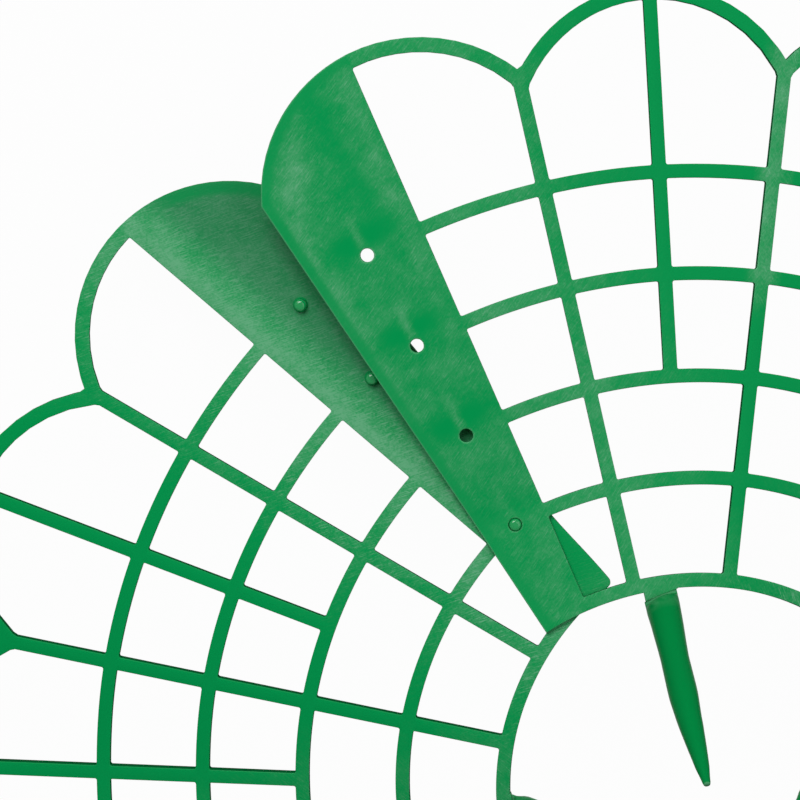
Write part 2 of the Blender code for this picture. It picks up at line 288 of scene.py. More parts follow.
def column_lines():
    """Column lines of a panel's grid: angle, lean in metres, kind of the strip that follows."""
    edge = EDGE_LINES[2]
    ribs = [END_RIB_ANGLE + i*PETAL_ANGLE/2 for i in range(5)]
    lines = plate_edge(-PLATE_ANGLE, 1, PLATE)
    lines += [(*line, PLATE) for line in
              spread((-PLATE_ANGLE, edge), (PLATE_ANGLE, -edge), PLATE_STEPS)]
    lines += plate_edge(PLATE_ANGLE, -1, PLATE)
    lines[-1] = (PLATE_ANGLE, 0.0, CELL)
    last = (PLATE_ANGLE, 0.0)
    for i, rib in enumerate(ribs):
        if i == 4:
            near = [(last[0], last[1] + d) for d in CORNER_LINES]
            tab = [(TAB_ANGLE, d - ROOT_HALF_WIDTH) for d in EDGE_LINES]
            tab += [(TAB_ANGLE, -TAB_MIDDLE_LINE)]
            far = [(rib, -HALF_BAR - d) for d in reversed(CORNER_LINES)]
            lines += [(*line, CELL) for line in near + spread(near[-1], tab[0], 2)]
            lines += [(*line, TAB) for line in tab + spread(tab[-1], far[0], CELL_STEPS)]
            lines += [(*line, TAB) for line in far[:-1]]
            lines += [(*far[-1], CELL)]
        else:
            lines += open_strip(last, (rib, -HALF_BAR), END_CELL_STEPS if i == 0 else CELL_STEPS)
        lines += bar_lines(rib, HALF_RIB if i % 2 else RIB)
        last = (rib, HALF_BAR)
    lines += open_strip(last, (SPAN - PLATE_ANGLE, 0.0), END_CELL_STEPS)
    lines += plate_edge(SPAN - PLATE_ANGLE, 1, PLATE)
    outer = [HALF_BAR + d for d in reversed(CORNER_LINES)]
    left = [(SPAN, -d) for d in outer]
    block = [(SPAN, HALF_BAR*s/3) for s in range(-3, 4)]
    right = [(SPAN, d) for d in reversed(outer)]
    start, end = (SPAN - PLATE_ANGLE, edge), (SPAN + PLATE_ANGLE, -edge)
    lines += [(*line, PLATE) for line in spread(start, left[0], HOLE_SIDE_STEPS) + left]
    lines += [(*line, HOLE) for line in block[:-1]] + [(*block[-1], PLATE)]
    lines += [(*line, PLATE) for line in right + spread(right[-1], end, HOLE_SIDE_STEPS)]
    lines += plate_edge(SPAN + PLATE_ANGLE, -1, PLATE)
    return lines


def row_lines():
    """Row lines as share of the way to the petals' edge, inset from it, offset, kind and ring.

    A row's radius is (1 - share) times the outer ring's outer edge, plus share times the petals'
    edge less the inset, plus the offset.
    """
    base = OUTER_RADIUS + HALF_BAR
    band = bar_profile([-RING_LINE, 0.0, RING_LINE])
    tab_rows = [TAB_EDGE + d for d in EDGE_LINES + TAB_LINES]
    lines = [(0.0, 0.0, r - base, TAB_ROW, 0) for r in tab_rows]
    for ring in range(1, RINGS + 1):
        middle = ring_radius(ring)
        lines += [(0.0, 0.0, middle + d - base, RING_ROW, ring) for d in band]
        lines += [(0.0, 0.0, middle + HALF_BAR - base, GAP_ROW, ring)]
        near = [middle + HALF_BAR + d for d in CORNER_LINES]
        if ring == RINGS:
            break
        far = [ring_radius(ring + 1) - HALF_BAR - d for d in reversed(CORNER_LINES)]
        steps = [near[-1] + (far[0] - near[-1])*(i + 1)/(GAP_STEPS + 1) for i in range(GAP_STEPS)]
        lines += [(0.0, 0.0, r - base, GAP_ROW, ring) for r in near + steps + far]
    lens = [(0.0, d) for d in CORNER_LINES]
    shares = [(i + 1)/(LENS_STEPS + 1) for i in range(LENS_STEPS)]
    lens += [(share, CORNER_RADIUS*(1 - 2*share)) for share in shares]
    lens += [(1.0, -d) for d in reversed(CORNER_LINES)]
    lines += [(share, PETAL_BAND, offset, GAP_ROW, RINGS) for share, offset in lens]
    insets = [PETAL_BAND - d for d in EDGE_LINES] + [PETAL_BAND*0.66, PETAL_BAND*0.33]
    insets += [d for d in reversed(EDGE_LINES)]
    lines += [(1.0, inset, 0.0, BAND_ROW, RINGS + 1) for inset in insets]
    return lines


def petal_reach(angle, inset):
    """Radius of the petals' edge less an inset: the farthest of four circles."""
    inner = END_RIB_ANGLE + PETAL_ANGLE/2
    reach = PETAL_RADIUS - inset
    farthest = 0.0
    for petal in (END_PETAL, inner, SPAN - inner, SPAN - END_PETAL):
        side = PETAL_CENTRE*np.sin(angle - petal)
        beyond = np.sqrt(np.clip(reach*reach - side*side, 0.0, None))
        farthest = np.maximum(farthest, PETAL_CENTRE*np.cos(angle - petal) + beyond)
    return farthest


def disc_map(x, y):
    """A square of half side 1 onto the unit disc: x sqrt(1 - y y/2), y sqrt(1 - x x/2)."""
    return x*np.sqrt(1 - y*y/2), y*np.sqrt(1 - x*x/2)


def open_hole(radius, angle, ring, hole_radius):
    """Moves grid corners round a hole: the block in the ring's band becomes a disc.

    Outside the block, a corner moves by what the nearest place of the block's edge moves, less
    and less up to the blend width.
    """
    x = radius*np.sin(angle - SPAN)
    y = radius*np.cos(angle - SPAN) - ring_radius(ring)
    far = np.maximum(np.maximum(np.abs(x), np.abs(y)), 1e-9)
    edge_x, edge_y = x/far, y/far
    disc_x, disc_y = disc_map(edge_x, edge_y)
    fade = 1 - ease((far - HALF_BAR)/HOLE_BLEND)
    inside = far < HALF_BAR
    fade = np.where(inside, far/HALF_BAR, fade)
    x = x + (disc_x*hole_radius - edge_x*HALF_BAR)*fade
    y = y + (disc_y*hole_radius - edge_y*HALF_BAR)*fade + ring_radius(ring)
    near = far < HALF_BAR + HOLE_BLEND
    return np.where(near, np.hypot(x, y), radius), np.where(near, SPAN + np.arctan2(x, y), angle)


def solid_strips(kind, row_kind, ring):
    """Whether each grid cell is solid, from the kinds of its column and row and its ring."""
    solid = np.isin(row_kind, (RING_ROW, BAND_ROW)) | np.isin(kind, (PLATE, RIB, HOLE))
    solid = solid | ((kind == HALF_RIB) & (ring >= HALF_RIB_RING))
    solid = solid & ~((kind == HOLE) & (row_kind == RING_ROW) & (ring >= 2))
    return np.where(row_kind == TAB_ROW, kind == TAB, solid)


def edge_levels(solid):
    """Steps from each grid corner to the solid's nearest edge, up to 2, and where solid is."""
    padded = np.pad(solid, 1)
    around = np.stack([padded[:-1, :-1], padded[1:, :-1], padded[:-1, 1:], padded[1:, 1:]])
    used = around.any(0)
    level = np.where(used & ~around.all(0), 0, 2)
    reach = np.pad(level == 0, 1)
    beside = np.zeros_like(used)
    for i in range(3):
        for j in range(3):
            beside |= reach[i:i + used.shape[0], j:j + used.shape[1]]
    level[beside & (level > 0)] = 1
    return level, used, around


def round_corners(radius, angle, around):
    """Moves grid corners at the cells' corners: each corner square becomes a quarter disc."""
    shape = radius.shape
    moved_r = np.zeros(shape)
    moved_s = np.zeros(shape)
    single = (~around).sum(0) == 1
    for which, (di, dj) in enumerate(((-1, -1), (1, -1), (-1, 1), (1, 1))):
        corner_i, corner_j = np.nonzero(single & ~around[which])
        for a in range(-2, 4):
            for b in range(-2, 4):
                x, y = max(a, 0)/3 - 1.0, max(b, 0)/3 - 1.0
                disc_x, disc_y = disc_map(np.array(x), np.array(y))
                fade = CORNER_FADES[max(-a, -b, 0)]
                i, j = corner_i + a*di, corner_j + b*dj
                ok = (i >= 0) & (i < shape[0]) & (j >= 0) & (j < shape[1])
                np.add.at(moved_s, (i[ok], j[ok]), float(disc_x - x)*CORNER_RADIUS*fade*di)
                np.add.at(moved_r, (i[ok], j[ok]), float(disc_y - y)*CORNER_RADIUS*fade*dj)
    return radius + moved_r, angle + moved_s/radius


def round_plate_corner(radius, angle):
    """Rounds the peg plate's inner far corner: its corner square becomes a quarter disc."""
    across = (angle + PLATE_ANGLE)*radius
    out = radius - INNER_EDGE
    x = np.clip(across/PLATE_CORNER - 1, -1, 0)
    y = np.clip(out/PLATE_CORNER - 1, -1, 0)
    near = (across < PLATE_CORNER) & (out < PLATE_CORNER) & (out > -1e-6)
    disc_x, disc_y = disc_map(x, y)
    radius_new = radius + (disc_y - y)*PLATE_CORNER
    angle_new = angle + (disc_x - x)*PLATE_CORNER/radius
    return np.where(near, radius_new, radius), np.where(near, angle_new, angle)


def squeeze_columns(angle, first):
    """Keeps the columns before a given one in order: each stays a hair below the next."""
    hair = 2e-5*(first - np.arange(first))[:, None]
    angle[:first] = np.minimum(angle[:first], angle[first] - hair)
    return angle


def flare_peg_plate(radius, angle):
    """Widens the peg plate's inner end towards its free edge, fading out along it."""
    across = np.clip((PLATE_ANGLE - angle)/(2*PLATE_ANGLE), 0.0, 1.0)
    return angle - PEG_PLATE_FLARE*across*ease((FLARE_TO - radius)/(FLARE_TO - FLARE_FROM))


def slant_tab(radius, angle):
    """Slants the edge of the stake's tab: it is deeper by the slant times the way across."""
    across = np.clip(radius*np.sin(angle - TAB_ANGLE), -ROOT_HALF_WIDTH, TAB_FAR_SIDE)
    share = 1 + across*CREASE_SLANT/TAB_DEPTH
    return np.where(radius < INNER_EDGE, INNER_EDGE - (INNER_EDGE - radius)*share, radius)


def panel_grid(pivot_hole):
    """Radius and angle of every grid corner, its edge level, and which cells are solid."""
    column_angle, lean, kind = (np.array(part)[:, None] for part in zip(*column_lines()))
    share, inset, offset, row_kind, ring = (np.array(part)[None] for part in zip(*row_lines()))
    base = OUTER_RADIUS + HALF_BAR
    angle = column_angle + 0*share
    for _ in range(3):
        radius = (1 - share)*base + share*petal_reach(angle, inset) + offset
        angle = column_angle + lean/radius
    angle = squeeze_columns(angle, int(np.argmax(kind == TAB)))
    solid = solid_strips(kind[:-1], row_kind[:, :-1], ring[:, :-1])
    level, used, around = edge_levels(solid)
    cells = around.copy()
    cells[:, (kind[:, 0] == HOLE) | (np.roll(kind[:, 0], 1) == HOLE), :] = True
    cells[:, :, :(row_kind == TAB_ROW).sum() + 1] = True
    radius = slant_tab(radius, angle)
    radius, angle = round_corners(radius, angle, cells)
    radius, angle = round_plate_corner(radius, angle)
    angle = flare_peg_plate(radius, angle)
    for ring in range(2, RINGS + 1):
        radius, angle = open_hole(radius, angle, ring, pivot_hole if ring == 2 else HOLE_RADIUS)
    return radius, angle, level, used, solid


def wall_faces(solid, number, under):
    """Quads between the upper and the lower grid wherever a solid cell meets an open one."""
    padded = np.pad(solid, 1)
    walls = []
    for low, high, a, b in ((padded[:-1, 1:-1], padded[1:, 1:-1], (0, 0), (0, 1)),
                            (padded[1:-1, :-1], padded[1:-1, 1:], (1, 0), (0, 0))):
        for inside, outside, start, end in ((low, high, a, b), (high, low, b, a)):
            i, j = np.nonzero(inside & ~outside)
            start, end = (i + start[0], j + start[1]), (i + end[0], j + end[1])
            walls.append(np.stack([number[start], number[end], under[end], under[start]], -1))
    return np.concatenate(walls)


def sheet_surface(pivot_hole):
    """The lattice as points, quads, flat places, shares of painted edge highlight and face flags.

    An upper grid and a lower grid are joined by walls along every edge.
    """
    radius, angle, level, used, solid = panel_grid(pivot_hole)
    drop = np.array(EDGE_DROPS)[level]
    upper = panel_points(radius, angle, SHEET/2 - drop)
    lower = panel_points(radius, angle, drop*LOWER_DROP - SHEET/2)
    number = np.full(used.shape, -1)
    number[used] = np.arange(used.sum())
    under = np.where(used, number + used.sum(), -1)
    i, j = np.nonzero(solid)
    top = np.stack([number[i, j], number[i, j + 1], number[i + 1, j + 1], number[i + 1, j]], -1)
    bottom = np.stack([under[i, j], under[i + 1, j], under[i + 1, j + 1], under[i, j + 1]], -1)
    walls = wall_faces(solid, number, under)
    points = np.concatenate([upper[used], lower[used]])
    faces = np.concatenate([top, bottom, walls])
    place = np.stack([radius[used], angle[used]], -1)
    # Share of painted highlight on the sheet's rounded edges
    edge = np.array(EDGE_HIGHLIGHT_SHARES)[level[used]]
    wall = np.repeat([0.0, 1.0], [len(top) + len(bottom), len(walls)])
    return points, faces, np.tile(place, (2, 1)), np.tile(edge, 2), wall


def carried_profile(centres, across, up, half_widths, half_heights, sides):
    """A closed tube: at each centre an ellipse of given half sizes, its ends closed by fans.

    A point is centre + across a cos t + up b sin t, with t round the ellipse. The faces point
    outward where across, up and the way along the tube are right-handed.
    """
    t = 2*pi*np.arange(sides)/sides
    rim = (across*np.cos(t)[:, None]*half_widths[:, None, None]
           + up*np.sin(t)[:, None]*half_heights[:, None, None] + centres[:, None, :])
    count = len(centres)
    points = np.concatenate([rim.reshape(-1, 3), centres[:1], centres[-1:]])
    i, k = np.meshgrid(np.arange(count - 1), np.arange(sides), indexing='ij')
    after = (k + 1) % sides
    quads = np.stack([i*sides + k, i*sides + after, (i + 1)*sides + after, (i + 1)*sides + k],
                     -1)
    k = np.arange(sides)
    first = np.stack([0*k + count*sides, (k + 1) % sides, k], -1)
    last = np.stack([0*k + count*sides + 1, (count - 1)*sides + k,
                     (count - 1)*sides + (k + 1) % sides], -1)
    return points, quads.reshape(-1, 4), np.concatenate([first, last])


def peg_surface(ring):
    """A peg on the peg line: flared foot, straight side, rounded rim and flat crown."""
    height, width = np.array(PEG_HEIGHTS), np.array(PEG_WIDTHS)
    radius = np.full(len(height), ring_radius(ring))
    centre = panel_points(radius, np.zeros(len(height)), SHEET/2 + height)
    return carried_profile(centre, *np.eye(3)[:2], width, width, PEG_SIDES)


def stake_surface():
    """A stake in its panel's frame: a flat root, a round shoulder, a waist and a tapered tip."""
    along, normal = line_frames(np.array(TAB_ANGLE), CURL)
    around = np.cross(normal, along)
    radius = np.array([INNER_RADIUS])
    middle = panel_points(radius, np.array([TAB_ANGLE]), np.array([SHEET/2]))[0]
    hinge = middle + along*(TAB_EDGE - INNER_RADIUS)
    forward = -along*cos(STAKE_REST_FOLD) + normal*sin(STAKE_REST_FOLD)
    up = along*sin(STAKE_REST_FOLD) + normal*cos(STAKE_REST_FOLD)
    run = np.array(STAKE_STATIONS)
    share = run/STAKE_LENGTH
    width = np.interp(share, *STAKE_WIDTHS)
    thin = SHEET/2*(0.5 + 0.5*ease(1 + run/ROOT_DEPTH))
    height = thin + (width - thin)*ease(run, SHOULDER_START, SHOULDER_LENGTH)
    bend = np.interp(share, *STAKE_BENDS)
    centre = hinge + forward*run[:, None] - up*(SHEET/2) + around*bend[:, None]
    points, quads, fans = carried_profile(centre, around, -up, width, height, STAKE_SIDES)
    across = (points - hinge) @ around
    ahead = (points - hinge) @ forward
    slanted = CREASE_SLANT*across*(1 - ease(ahead/SLANT_LENGTH))
    return (points - along*slanted[:, None], quads, fans), share


# Tone of the wear with its painted sheen by distance in metres from each plate's cell edge
HOLE_SIDE_TONES = ((0, 0.003, 0.022, 0.03, 0.037, 0.045, 0.06),
                   (0.34, 0.52, 0.47, 0.36, 0.27, 0.16, 0.04))
PEG_SIDE_TONES = ((0, 0.001, 0.006, 0.016, 0.025, 0.037, 0.055),
                  (0.62, 0.7, 0.66, 0.46, 0.28, 0.12, 0.03))
EDGE_CLOUD_SIZES = (0.055, 0.031, 0.018, 0.011)
EDGE_CLOUD_SEED = 7
EDGE_CLOUD_REACH = 0.006
WORN_RIB_TONE = 0.62
WORN_RIB_START = 0.130
WORN_RIB_FADE = 0.015
WORN_RIB_SIDE = 0.002
SIDE_BLEND = radians(4)

# Fades of a stake's finish as start and width, by share of its length
ROOT_FADE = (0.05, 0.06)
CREASE_FADE = (0.006, 0.012)
TIP_FADE = (0.994, 0.006)


def edge_clouds(place):
    """Cloudy values between -1 and 1: a sum of sines in turned directions, from a fixed seed."""
    draw = np.random.default_rng(EDGE_CLOUD_SEED)
    widest = EDGE_CLOUD_SIZES[0]
    height = np.zeros(len(place))
    for size in EDGE_CLOUD_SIZES:
        for _ in range(3):
            turn, phase = draw.uniform(0, 2*pi, 2)
            wave = place[:, 0]*cos(turn) + place[:, 1]*np.sin(turn)
            height += np.sin(2*pi*wave/size + phase)*size/widest
    return height/5


def wear_and_sheen_values(place, worn_rib):
    """Tone of the wear with its painted sheen, and its side, at (radius, angle) places of the flat
    sheet.

    The tone is highest on both plates and falls along the rings and ribs beside them. One panel's
    middle rib is worn too, in its outer part.
    """
    radius, angle = place[:, 0], place[:, 1]
    flat = np.stack([radius*np.cos(angle), radius*np.sin(angle)], -1)
    cloud = edge_clouds(flat)*EDGE_CLOUD_REACH
    past_hole = (SPAN - PLATE_ANGLE - angle)*radius + cloud
    past_peg = (angle - PLATE_ANGLE)*radius + cloud
    hole_tone = np.interp(past_hole, *HOLE_SIDE_TONES)
    peg_tone = np.interp(past_peg, *PEG_SIDE_TONES)
    off_middle = np.abs(angle - SPAN/2)*radius
    middle = 1 - ease(off_middle, WORN_RIB_SIDE, WORN_RIB_SIDE)
    middle = middle*ease(radius, WORN_RIB_START, WORN_RIB_FADE)
    tone = np.maximum(np.maximum(hole_tone, peg_tone), middle*WORN_RIB_TONE*worn_rib)
    side = ease((SPAN/2 - angle)/SIDE_BLEND + 0.5)
    return tone, side


def new_mesh(name, points, faces):
    """Mesh object at the origin from points and a list of faces, smooth shaded."""
    mesh = bpy.data.meshes.new(name)
    mesh.from_pydata(points.tolist(), [], faces)
    mesh.polygons.foreach_set('use_smooth', np.ones(len(mesh.polygons), bool))
    mesh.update()
    item = bpy.data.objects.new(name, mesh)
    bpy.context.scene.collection.objects.link(item)
    return item


def corner_layers(mesh, flat, values):
    """UV map of the flat sheet and the 'finish' colours, with a value for each face corner."""
    layer = mesh.uv_layers.new(name='flat')
    layer.data.foreach_set('uv', (flat*FLAT_MAP_UNITS).astype(np.float32).ravel())
    layer = mesh.color_attributes.new('finish_and_painted_light', 'FLOAT_COLOR', 'CORNER')
    layer.data.foreach_set('color', values.astype(np.float32).ravel())


def corner_numbers(mesh):
    """Point number of every face corner."""
    numbers = np.zeros(len(mesh.loops), np.int32)
    mesh.loops.foreach_get('vertex_index', numbers)
    return numbers


def build_lattice(name, turn, shift, pivot_hole, worn_rib):
    """One panel: sheet with its holes and tab, and four pegs, placed in the ring."""
    points, faces, place, edge, wall = sheet_surface(pivot_hole)
    tone, side = wear_and_sheen_values(place, worn_rib)
    # Tone of the wear with its painted sheen, share of the painted edge highlight, and the side
    values = np.stack([tone, edge*0.5 + 0.5, side], -1)
    triangles = []
    for ring in range(2, RINGS + 1):
        peg_points, quads, fans = peg_surface(ring)
        start, count = len(points), len(peg_points)
        points = np.concatenate([points, peg_points])
        faces = np.concatenate([faces, quads + start])
        triangles += (fans + start).tolist()
        place = np.concatenate([place, np.tile([ring_radius(ring), 0.0], (count, 1))])
        values = np.concatenate([values, np.tile([0.0, 0.0, 1.0], (count, 1))])
    item = new_mesh(name, points @ turn.T + shift, faces.tolist() + triangles)
    mesh = item.data
    corner = corner_numbers(mesh)
    radius, angle = place[corner, 0], place[corner, 1]
    flat = np.stack([radius*np.cos(angle), radius*np.sin(angle)], -1)
    # Flag of the wall faces, which the material paints dark as shade; none at the tab's edge
    wall_corners = np.zeros(len(corner))
    wall_corners[:4*len(wall)] = np.repeat(wall, 4)
    wall_corners[radius < INNER_EDGE - 1e-5] = 0.0
    corner_layers(mesh, flat, np.concatenate([values[corner], wall_corners[:, None]], -1))
    return item


def build_stake(name, turn, shift):
    """One stake, placed in the ring with its fold at rest."""
    (points, quads, fans), share = stake_surface()
    item = new_mesh(name, points @ turn.T + shift, quads.tolist() + fans.tolist())
    mesh = item.data
    corner = corner_numbers(mesh)
    along = np.concatenate([np.repeat(share, STAKE_SIDES), [0.0, 1.0]])
    root = 1 - ease(along, *ROOT_FADE)
    crease = 1 - ease(along, *CREASE_FADE)
    tip = ease(along, *TIP_FADE)
    values = np.stack([root, tip, crease, 0*along], -1)
    flat = np.stack([along*STAKE_LENGTH, 0*along], -1)
    corner_layers(mesh, flat[corner], values[corner])
    return item


def add_node(tree, kind, links=None, **settings):
    """Shader node with its settings, and its inputs set to values or joined to sockets."""
    node = tree.nodes.new('ShaderNode' + kind)
    for name, value in settings.items():
        setattr(node, name, value)
    for name, value in (links or {}).items():
        socket = node.inputs[name]
        if isinstance(value, bpy.types.NodeSocket):
            tree.links.new(value, socket)
        else:
            socket.default_value = value
    return node


def maths(tree, operation, a, b=0.0, clamp=False):
    """Result of a Math node."""
    return add_node(tree, 'Math', {0: a, 1: b}, operation=operation, use_clamp=clamp).outputs[0]


def remap(tree, value, low, high, new_low=0.0, new_high=1.0, soft=False):
    """A value's range carried onto another, held at its ends, evenly or with soft ends."""
    ends = {'Value': value, 1: low, 2: high, 3: new_low, 4: new_high}
    kind = 'SMOOTHSTEP' if soft else 'LINEAR'
    return add_node(tree, 'MapRange', ends, interpolation_type=kind).outputs['Result']


def product(tree, *values):
    """Product of several values."""
    result = values[0]
    for value in values[1:]:
        result = maths(tree, 'MULTIPLY', result, value)
    return result


def total(tree, *values):
    """Sum of several values."""
    result = values[0]
    for value in values[1:]:
        result = maths(tree, 'ADD', result, value)
    return result


def band(tree, value, shape):
    """A rounded band with its middle, width and height: height exp(-((v - middle)/width)^2)."""
    middle, width, height = shape
    share = maths(tree, 'DIVIDE', maths(tree, 'SUBTRACT', value, middle), width)
    return product(tree, maths(tree, 'EXPONENT', product(tree, share, share, -1.0)), height)


def distance(tree, a, b):
    """Length of a vector from its two parts."""
    return maths(tree, 'SQRT', total(tree, product(tree, a, a), product(tree, b, b)))


def mix_values(tree, share, first, second):
    """Value between two by a share."""
    return add_node(tree, 'Mix', {0: share, 2: first, 3: second}).outputs[0]


def mix_colours(tree, share, first, second):
    """Colour between two by a share."""
    return add_node(tree, 'Mix', {0: share, 6: first, 7: second}, data_type='RGBA').outputs[2]


def place_group(tree, group, inputs):
    """Outputs of a node group placed in a tree with its input values."""
    return add_node(tree, 'Group', inputs, node_tree=group).outputs


def turned_parts(tree, place, angle):
    """Parts of places along and across, after a turn by an angle."""
    turned_place = add_node(tree, 'VectorRotate', {'Vector': place, 'Angle': angle},
                            rotation_type='Z_AXIS').outputs[0]
    parts = add_node(tree, 'SeparateXYZ', {0: turned_place}).outputs
    return parts['X'], parts['Y']


def new_group(name, inputs, outputs):
    """Shader node group with inputs by name and default, None for a vector, and value outputs."""
    group = bpy.data.node_groups.new(name, 'ShaderNodeTree')
    for label, value in inputs.items():
        kind = 'NodeSocketVector' if value is None else 'NodeSocketFloat'
        socket = group.interface.new_socket(name=label, in_out='INPUT', socket_type=kind)
        if value is not None:
            socket.default_value = value
    for label in outputs:
        group.interface.new_socket(name=label, in_out='OUTPUT', socket_type='NodeSocketFloat')
    entry = group.nodes.new('NodeGroupInput')
    leave = group.nodes.new('NodeGroupOutput')
    return group, entry.outputs, leave.inputs


# Noise value where a scratch starts and how fast it gets bright, and the range of the grain
MARK_START = 0.59
MARK_GAIN = 9.0
GRAIN_RANGE = (0.25, 0.75, -0.5, 0.5)


def scratches_group():
    """Straight rubbed scratches in one direction, as stretched noise with a threshold."""
    group, given, out = new_group('rubbed_scratches', {'Place': None, 'Direction': 0.0,
                                                       'Length': 3.5, 'Width': 0.4},
                                  ('Marks', 'Grain'))
    along, across = turned_parts(group, given['Place'], given['Direction'])
    stretched = add_node(group, 'CombineXYZ', {
        'X': maths(group, 'DIVIDE', along, given['Length']),
        'Y': maths(group, 'DIVIDE', across, given['Width'])}).outputs[0]
    noise = add_node(group, 'TexNoise', {'Vector': stretched, 'Scale': 1.0, 'Detail': 2.0,
                                         'Roughness': 0.6}, noise_dimensions='2D').outputs[0]
    above = maths(group, 'SUBTRACT', noise, MARK_START)
    group.links.new(maths(group, 'MULTIPLY', above, MARK_GAIN, clamp=True), out['Marks'])
    group.links.new(remap(group, noise, *GRAIN_RANGE), out['Grain'])
    return group


def clouds_group():
    """Soft patches about zero, as noise with a contrast."""
    group, given, out = new_group('cloudy_patches', {'Place': None, 'Scale': 0.1,
                                                     'Contrast': 1.0}, ('Value',))
    noise = add_node(group, 'TexNoise', {'Vector': given['Place'], 'Scale': given['Scale'],
                                         'Detail': 3.0, 'Roughness': 0.55}).outputs[0]
    centred = maths(group, 'SUBTRACT', noise, 0.5)
    group.links.new(maths(group, 'MULTIPLY', centred, given['Contrast']), out['Value'])
    return group


def plate_edges_group():
    """Distances in millimetres from a plate's edges, at places out along it and across it.

    The straight edges are lines from the apex at the plate's half angle, the outer one is the
    petal's circle.
    """
    group, given, out = new_group('plate_edges', {'Out': 0.0, 'Across': 0.0, 'Petal Side': 1.0},
                                  ('Minus Edge', 'Plus Edge', 'Outer Edge'))
    leaning = product(group, given['Out'], sin(PLATE_ANGLE))
    sideways = product(group, given['Across'], cos(PLATE_ANGLE))
    group.links.new(total(group, leaning, sideways), out['Minus Edge'])
    group.links.new(maths(group, 'SUBTRACT', leaning, sideways), out['Plus Edge'])
    middle = PETAL_CENTRE*MM
    from_out = maths(group, 'SUBTRACT', given['Out'], middle*cos(END_PETAL))
    aside = product(group, given['Petal Side'], middle*sin(END_PETAL))
    far = distance(group, maths(group, 'MAXIMUM', from_out, 0.0),
                   maths(group, 'SUBTRACT', given['Across'], aside))
    group.links.new(maths(group, 'SUBTRACT', PETAL_RADIUS*MM, far), out['Outer Edge'])
    return group


# Wear round a hole, and the painted highlight ring at its edge, in millimetres: middle, width and
# height of each band
HOLLOW = (4.2, 3.0, -0.38)
HOLLOW_ACROSS = (0.0, 10.0, 1.0)
BELOW_HOLE = (-6.0, 2.2, 0.07)
WELD_STREAK = (0.1, 1.4, 0.60)
HOLE_EDGE_HIGHLIGHT = (HOLE_RADIUS*MM + 0.22, 0.22, 0.22)

# Lean of the weld streak, and where it starts and ends, in millimetres past a hole
STREAK_LEAN = 0.04
STREAK_START = (1.5, 3.0)
STREAK_END = (5.0, 12.0, 1, 0)

# Where the pattern starts before a hole, fades in, grows and ends, in millimetres from the apex
PATTERN_START = 8.0
FIRST_HOLE = PIVOT_RADIUS*MM
LAST_HOLE = OUTER_RADIUS*MM
PATTERN_IN = (FIRST_HOLE - 7.0, FIRST_HOLE - 4.0)
PATTERN_GROWTH = (FIRST_HOLE + 12.0, FIRST_HOLE + 18.0, 0.55, 1.0)
PATTERN_OUT = (LAST_HOLE + 13.0, LAST_HOLE + 15.0, 1, 0)


def hole_wear_group():
    """Tone round the holes, from places along and across the hole line in millimetres.

    Above each hole a dark hollow is cut by a light weld streak, and a thin ring of painted
    highlight follows the hole's edge. The pattern repeats with the rings.
    """
    group, given, out = new_group('hole_wear', {'Out': 0.0, 'Across': 0.0}, ('Tone',))
    across = given['Across']
    shifted = maths(group, 'SUBTRACT', given['Out'], FIRST_HOLE - PATTERN_START)
    along = maths(group, 'FLOORED_MODULO', shifted, RING_PITCH*MM)
    along = maths(group, 'SUBTRACT', along, PATTERN_START)
    wide = band(group, across, HOLLOW_ACROSS)
    hollow = product(group, band(group, along, HOLLOW), wide)
    below = product(group, band(group, along, BELOW_HOLE), wide)
    lean = total(group, across, product(group, along, STREAK_LEAN))
    streak = product(group, band(group, lean, WELD_STREAK), remap(group, along, *STREAK_START),
                     remap(group, along, *STREAK_END))
    # Painted highlight: a thin light ring along the hole's edge
    rim = band(group, distance(group, along, across), HOLE_EDGE_HIGHLIGHT)
    pattern = total(group, hollow, below, streak, rim)
    strength = product(group, remap(group, given['Out'], *PATTERN_IN),
                       remap(group, given['Out'], *PATTERN_OUT),
                       remap(group, given['Out'], *PATTERN_GROWTH))
    group.links.new(product(group, pattern, strength), out['Tone'])
    return group


DEEP_GREEN = (0.0008, 0.280, 0.070, 1.0)
# Frosted green of rubbed plastic, lightened by a painted sheen
FROST_AND_SHEEN_GREEN = (0.115, 0.385, 0.195, 1.0)
# Dark brownish green painted as shade on the peg plate beside the raised hole plate
PAINTED_SHADE_GREEN = (0.014, 0.125, 0.052, 1.0)
# Dark green painted on the cut walls as shade
SHADED_WALL_GREEN = (0.0004, 0.105, 0.026, 1.0)
STAKE_GREEN = (0.0004, 0.214, 0.047, 1.0)
PEG_COAT = 0.6


def new_material(name):
    """Material with its Principled shader, its tree and the 'finish' values."""
    material = bpy.data.materials.new(name)
    material.use_nodes = True
    tree = material.node_tree
    shader = tree.nodes['Principled BSDF']
    shader.inputs['Specular IOR Level'].default_value = 0.02
    shader.inputs['Coat Roughness'].default_value = 0.12
    finish_and_painted_light = add_node(tree, 'Attribute', attribute_name='finish_and_painted_light')
    values = add_node(tree, 'SeparateColor', {0: finish_and_painted_light.outputs['Color']})
    return material, tree, shader.inputs, values.outputs, finish_and_painted_light.outputs['Alpha']


def add_bump(tree, shader, height, strength, depth):
    """Bump of a height in the shader's normal, with its strength and its depth in metres."""
    bump = add_node(tree, 'Bump', {'Height': height, 'Strength': strength, 'Distance': depth})
    tree.links.new(bump.outputs[0], shader['Normal'])


# Bands of the plates as middle, width and height, and the limits of their fades, in millimetres
SHOULDER, SHOULDER_ACROSS = (8.0, 3.8, 0.30), (-3.0, 4.0)
CENTRE_BAND, CENTRE_BAND_OUT = (-6.0, 2.6, -0.16), (174.0, 180.0)
CELL_STRIPE, CELL_STRIPE_OUT = (3.0, 2.2, 0.17), (138.0, 156.0, 0.25, 1.0)
# A light stripe of painted sheen along the peg plate's cell edge
SHEEN_STRIPE, SHEEN_STRIPE_OUT = (2.2, 3.0, 0.30), (108.0, 140.0, 0.3, 1.0)
